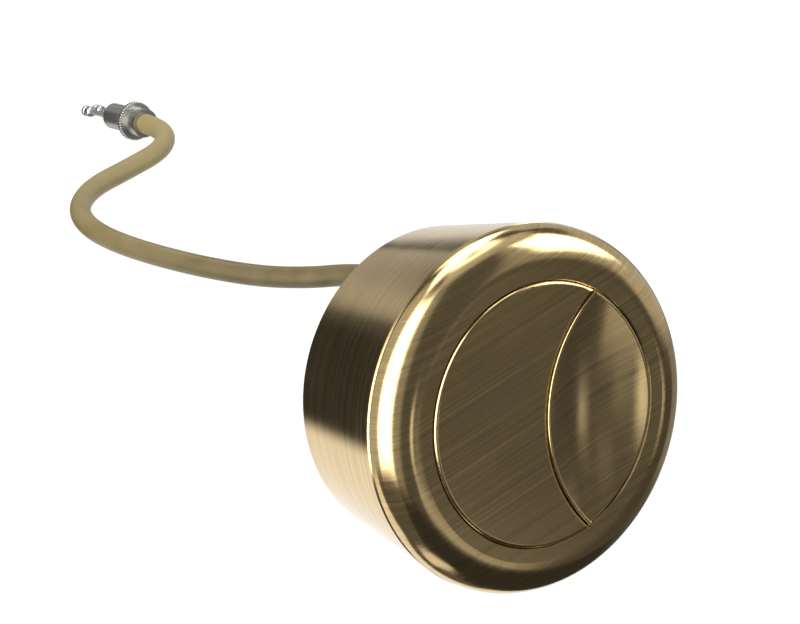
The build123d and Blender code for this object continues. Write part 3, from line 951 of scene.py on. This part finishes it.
@dataclass
class ButtonHead:
    """The sleeve, the bezel and the two caps that are pressed.

    Attributes:
        lens_axis: Where the axis of the lens-shaped cap's inner side stands along X.
        lip_arc: Radius of the lip along that side.
        lip_radius: Half the lip's thickness.
        lip_height: How far its middle stands out from the wall.
        lip_reach: How far it goes each way from the middle, in degrees.
        lip_sides: How many facets go round it.
        lip_steps: How many facets go along it.
    """

    lens_axis: float = 0.0311
    lip_arc: float = 0.03005
    lip_radius: float = 0.0004
    lip_height: float = 0.03735
    lip_reach: float = 49.8
    lip_sides: int = 16
    lip_steps: int = 90

    def build(self, shop: Workshop) -> None:
        """Dresses the head and adds the lip.

        Args:
            shop: Where pieces are made.
        """
        shop.dress("sleeve_brass", "outer_sleeve")
        shop.dress("bezel_brass", "front_bezel")
        shop.dress("cap_brass", "full_flush_cap", "half_flush_cap")
        shop.dress("black_rubber", "bezel_seal")
        shop.add("lens_lip", self.lip(), "half_button", "cap_brass")

    def lip(self) -> Mesh:
        """Draws the raised lip along the lens-shaped cap's inner side.

        Returns:
            The mesh.
        """
        shape = bmesh.new()
        turns = [2.0 * math.pi * step / self.lip_sides for step in range(self.lip_sides)]
        ring = [shape.verts.new((self.lens_axis - self.lip_arc - self.lip_radius * math.cos(turn),
                                 -self.lip_height - self.lip_radius * math.sin(turn), 0.0)) for turn in turns]
        edges = [shape.edges.new(pair) for pair in zip(ring, ring[1:] + ring[:1])]
        middle, reach = (self.lens_axis, 0.0, 0.0), math.radians(self.lip_reach)
        bmesh.ops.rotate(shape, verts=ring, cent=middle, matrix=Matrix.Rotation(-reach, 3, "Y"))
        bmesh.ops.spin(shape, geom=ring + edges, cent=middle, axis=Y_AXIS, angle=2.0 * reach,
                       steps=self.lip_steps, use_duplicate=False)
        bmesh.ops.holes_fill(shape, edges=[edge for edge in shape.edges if edge.is_boundary])
        return finished("lens_lip", shape)


@dataclass
class Mechanism:
    """What lies behind the caps: plungers, springs, levers and wires.

    Attributes:
        seat: Where the springs stand on the guide body, along Y; not used.
        coil_radius: Radius of a spring to its wire's centre.
        wire_radius: Radius of its wire.
        turns: How many turns it has.
        stroke: How far a cap goes in; not used.
    """

    seat: float = -0.0175
    coil_radius: float = 0.0033
    wire_radius: float = 0.0004
    turns: float = 6.5
    stroke: float = 0.006

    def build(self, shop: Workshop) -> None:
        """Dresses the mechanism and adds its springs.

        Args:
            shop: Where pieces are made.
        """
        shop.dress("body_plastic", "guide_body", "cable_splitter")
        shop.dress("plunger_plastic", "full_flush_plunger", "half_flush_plunger")
        shop.dress("lever_plastic", "full_flush_lever", "half_flush_lever")
        shop.dress("steel", "lever_pin", "pin_clips", "splitter_clip")
        shop.dress("wire_steel", "full_flush_wire", "half_flush_wire")
        coil = coil_recipe()
        for side in ("full", "half"):
            for place in ("upper", "lower"):
                self.spring(shop, coil, side, place)

    def spring(self, shop: Workshop, coil: Recipe, side: str, place: str) -> None:
        """Adds one spring.

        Args:
            shop: Where pieces are made.
            coil: The recipe for coils.
            side: Which cap it lifts, full or half.
            place: Whether it is the upper or the lower one.
        """
        node = f"{side}_flush_spring_{place}"
        low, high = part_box(node)
        x, z = (low[0] + high[0]) / 2.0, (low[2] + high[2]) / 2.0
        height = high[1] - low[1]
        mesh = coil.mesh(node + "_coil", Coil_Radius=self.coil_radius, Wire_Radius=self.wire_radius,
                         Height=height, Turns=self.turns, Material=shop.finishes.by_slot["spring_steel"])
        mesh.transform(Matrix.Translation((x, low[1], z)))
        piece = shop.add(f"{side}_coil_{place}", mesh, "housing", "spring_steel", (node,))
        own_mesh(piece)


@dataclass
class WallFixing:
    """The base plate, its gasket and the screw that holds the sleeve on it."""

    def build(self, shop: Workshop) -> None:
        """Dresses the fixing.

        Args:
            shop: Where pieces are made.
        """
        shop.dress("body_plastic", "base_plate")
        shop.dress("black_foam", "wall_gasket")
        shop.dress("steel", "grub_screw")


@dataclass(frozen=True)
class Card:
    """A curved studio card round the part, seen only in its reflections.

    Attributes:
        name: Its name.
        azimuth: Its two sides, in degrees round from straight ahead of the button towards +X.
        elevation: Its lower and upper edge, in degrees above the horizon.
        radiance: How bright it looks.
        distance: How far it stands from the part.
        fade: How wide its soft edge is, in degrees.
    """

    name: str
    azimuth: tuple[float, float]
    elevation: tuple[float, float]
    radiance: float
    distance: float
    fade: float = 5.0

    def build(self, centre: Point) -> Object:
        """Adds the card.

        Args:
            centre: What it stands round.

        Returns:
            The card.
        """
        wide, tall = (high - low for low, high in (self.azimuth, self.elevation))
        across, up = math.ceil(wide / FACET), math.ceil(tall / FACET)
        shape = bmesh.new()
        unwrap = shape.loops.layers.uv.new("card")
        spots: dict[bmesh.types.BMVert, tuple[float, float]] = {}
        rows = []
        for row in range(up + 1):
            line = []
            for column in range(across + 1):
                ray = direction(self.azimuth[0] + wide * column / across, self.elevation[0] + tall * row / up)
                line.append(shape.verts.new(Vector(centre) + ray * self.distance))
                spots[line[-1]] = (column / across, row / up)
            rows.append(line)
        for below, above in zip(rows, rows[1:]):
            for column in range(across):
                face = shape.faces.new((below[column], below[column + 1], above[column + 1], above[column]))
                for loop in face.loops:
                    loop[unwrap].uv = spots[loop.vert]
        mesh = bpy.data.meshes.new(self.name)
        shape.to_mesh(mesh)
        shape.free()
        mesh.materials.append(self.glow(wide, tall))
        card = place_object(self.name, mesh)
        card.visible_camera = card.visible_diffuse = card.visible_shadow = card.visible_transmission = False
        return card

    def glow(self, wide: float, tall: float) -> Material:
        """Makes the card's even glow, which fades at its edges.

        Args:
            wide: Its width, in degrees.
            tall: Its height, in degrees.

        Returns:
            The material.
        """
        material = bpy.data.materials.new(self.name)
        material.use_nodes = True
        graph = Graph(material.node_tree)
        spot = graph.add("ShaderNodeTexCoord").outputs["UV"]
        sides = graph.add("ShaderNodeSeparateXYZ", {0: spot}).outputs
        inward = []
        for side, size in ((sides["X"], wide), (sides["Y"], tall)):
            nearest = graph.math("MINIMUM", side, graph.math("SUBTRACT", 1.0, side))
            inward.append(graph.math("MULTIPLY", nearest, size / self.fade))
        share = graph.add("ShaderNodeMapRange", {0: graph.math("MINIMUM", *inward)},
                          interpolation_type="SMOOTHSTEP")
        light = graph.add("ShaderNodeEmission", {"Strength": self.radiance})
        clear = graph.add("ShaderNodeBsdfTransparent")
        mixed = graph.add("ShaderNodeMixShader", {0: share, 1: clear, 2: light})
        graph.add("ShaderNodeOutputMaterial", {"Surface": mixed})
        material.cycles.emission_sampling = "AUTO" if self.radiance > LAMP_LIKE else "NONE"
        return material


@dataclass
class Studio:
    """The pale floor, the soft light and the cards that the metal mirrors.

    Attributes:
        floor: Height of the floor.
        reach: Half the floor's side.
        tones: The floor's two colours, which blend in wide clouds.
        pale: How much brighter the floor looks than it is lit.
        sky: Brightness of the light from all round.
        horizon: How bright what lies beyond the floor looks.
        key: Brightness of the light from above on the left.
        key_spread: How wide that light is, in degrees.
        key_tilt: How far it leans from straight down, in degrees.
        key_turn: How far it is turned about the vertical, in degrees.
        centre: What the cards stand round.
        cards: The cards.
    """

    floor: float = -0.5
    reach: float = 14.0
    tones: tuple[Colour, Colour] = ((0.88, 0.88, 0.875), (0.9, 0.9, 0.895))
    pale: float = 0.3
    sky: float = 0.55
    horizon: float = 0.93
    key: float = 1.3
    key_spread: float = 24.0
    key_tilt: float = 42.0
    key_turn: float = -58.0
    centre: Point = (0.0, -0.02, 0.0)
    cards: tuple[Card, ...] = (
        Card("surround", (-180.0, 180.0), (-90.0, 90.0), 0.125, 0.495, 0.01),
        Card("floor_flag", (-48.0, 128.0), (-90.0, -30.0), 0.045, 0.485, 10.0),
        Card("floor_spot", (-160.0, 8.0), (-92.0, -71.0), 1.15, 0.47, 6.0),
        Card("right_flag", (43.0, 78.0), (-34.0, -1.0), 0.09, 0.485, 5.0),
        Card("rear_flag", (174.0, 210.0), (-18.0, 17.0), 0.045, 0.485, 4.0),
        Card("backdrop_low", (124.0, 236.0), (-64.0, -16.2), 1.2, 0.475, 5.0),
        Card("backdrop_right", (124.0, 160.0), (-20.0, 20.0), 0.9, 0.475),
        Card("backdrop_strip", (160.0, 196.0), (16.6, 27.0), 0.6, 0.475, 3.5),
        Card("left_rear", (-150.0, -98.0), (-34.0, 60.0), 0.65, 0.465, 8.0),
        Card("left_softbox", (-106.0, -46.4), (-35.0, 61.0), 5.0, 0.44, 14.0),
        Card("left_tail", (-64.0, -22.0), (-40.0, 60.0), 0.4, 0.45, 12.0),
        Card("top_softbox", (34.0, 84.0), (19.5, 60.5), 5.0, 0.44, 8.0),
        Card("top_tail", (20.0, 60.0), (5.0, 68.0), 0.42, 0.472, 8.0),
        Card("ceiling", (-64.0, 110.0), (54.0, 78.0), 0.7, 0.474, 10.0),
        Card("overhead", (-180.0, 180.0), (70.0, 90.0), 4.0, 0.46, 12.0),
        Card("rear_top", (138.0, 194.0), (42.0, 88.0), 4.0, 0.462, 10.0),
        Card("rear_left", (184.0, 262.0), (57.0, 88.0), 4.0, 0.463, 8.0),
        Card("right_panel", (50.0, 122.0), (-6.0, 46.0), 0.6, 0.475, 9.0),
        Card("right_low", (76.0, 122.0), (-26.0, 0.0), 0.3, 0.478, 6.0),
        Card("right_high", (112.0, 150.0), (14.0, 60.0), 0.6, 0.468, 8.0),
        Card("front_strip", (-2.0, 10.0), (-20.0, -5.0), 1.4, 0.46, 5.0),
        Card("front_low", (2.0, 40.0), (-33.0, -15.5), 0.58, 0.47, 6.5),
        Card("front_mid", (11.0, 26.0), (-19.0, -8.0), 0.28, 0.472, 4.0),
        Card("front_high", (22.0, 36.0), (-9.0, -1.5), 0.26, 0.473, 3.0),
        Card("right_spot", (42.0, 51.0), (-15.0, -8.0), 1.0, 0.46, 3.5),
    )

    def build(self) -> None:
        """Adds the floor, the light and the cards."""
        bpy.context.scene.view_settings.view_transform = "Standard"
        floor = self.build_floor()
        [card.build(self.centre) for card in self.cards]
        self.build_sky()
        lamp = bpy.data.lights.new("key", "SUN")
        lamp.energy, lamp.angle = self.key, math.radians(self.key_spread)
        key = place_object("key", lamp)
        key.rotation_euler = (math.radians(self.key_tilt), 0.0, math.radians(self.key_turn))
        key.visible_glossy = False
        LOG.info("studio: floor, key light and %d cards", len(self.cards))

    def build_floor(self) -> Object:
        """Adds the floor.

        Returns:
            The floor.
        """
        mesh = bpy.data.meshes.new("floor")
        square = ((-1, -1), (1, -1), (1, 1), (-1, 1))
        points = [(x * self.reach, y * self.reach, self.floor) for x, y in square]
        mesh.from_pydata(points, [], [(0, 1, 2, 3)])
        material, graph, shader, place = principled("pale_floor")
        graph.feed(shader, {
            "Base Color": graph.blend(graph.noise(place, 0.6, 2.0), *self.tones),
            "Emission Strength": graph.math("MULTIPLY", self.seen(graph), self.pale),
            "Emission Color": (1.0, 1.0, 1.0, 1.0), "Roughness": 0.9, "Specular IOR Level": 0.1})
        mesh.materials.append(material)
        return place_object("floor", mesh)

    @staticmethod
    def seen(graph: Graph) -> Node:
        """Tells rays that show a surface from rays that light with it.

        Args:
            graph: The material's or the world's graph.

        Returns:
            A node that gives 1 for camera, glossy and transmission rays.
        """
        path = graph.add("ShaderNodeLightPath").outputs
        return graph.math("MAXIMUM", path["Is Camera Ray"],
                          graph.math("MAXIMUM", path["Is Glossy Ray"], path["Is Transmission Ray"]))

    def build_sky(self) -> None:
        """Sets the light from all round."""
        world = bpy.data.worlds.new("studio_sky")
        world.use_nodes = True
        graph = Graph(world.node_tree)
        strength = graph.span(self.seen(graph), 0.0, 1.0, self.sky, self.horizon)
        glow = graph.add("ShaderNodeBackground", {"Color": (1.0, 0.99, 0.98, 1.0), "Strength": strength})
        graph.add("ShaderNodeOutputWorld", {"Surface": glow})
        bpy.context.scene.world = world


def main() -> None:
    """Builds the scene."""
    logging.basicConfig(level=logging.INFO, format="%(name)s: %(message)s")
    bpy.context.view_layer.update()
    PhotoCamera().build()
    shop = Workshop(frame["nodes"], Finishes())
    PullCable().build(shop)
    ButtonHead().build(shop)
    Mechanism().build(shop)
    WallFixing().build(shop)
    Studio().build()


if __name__ == "__main__":
    main()
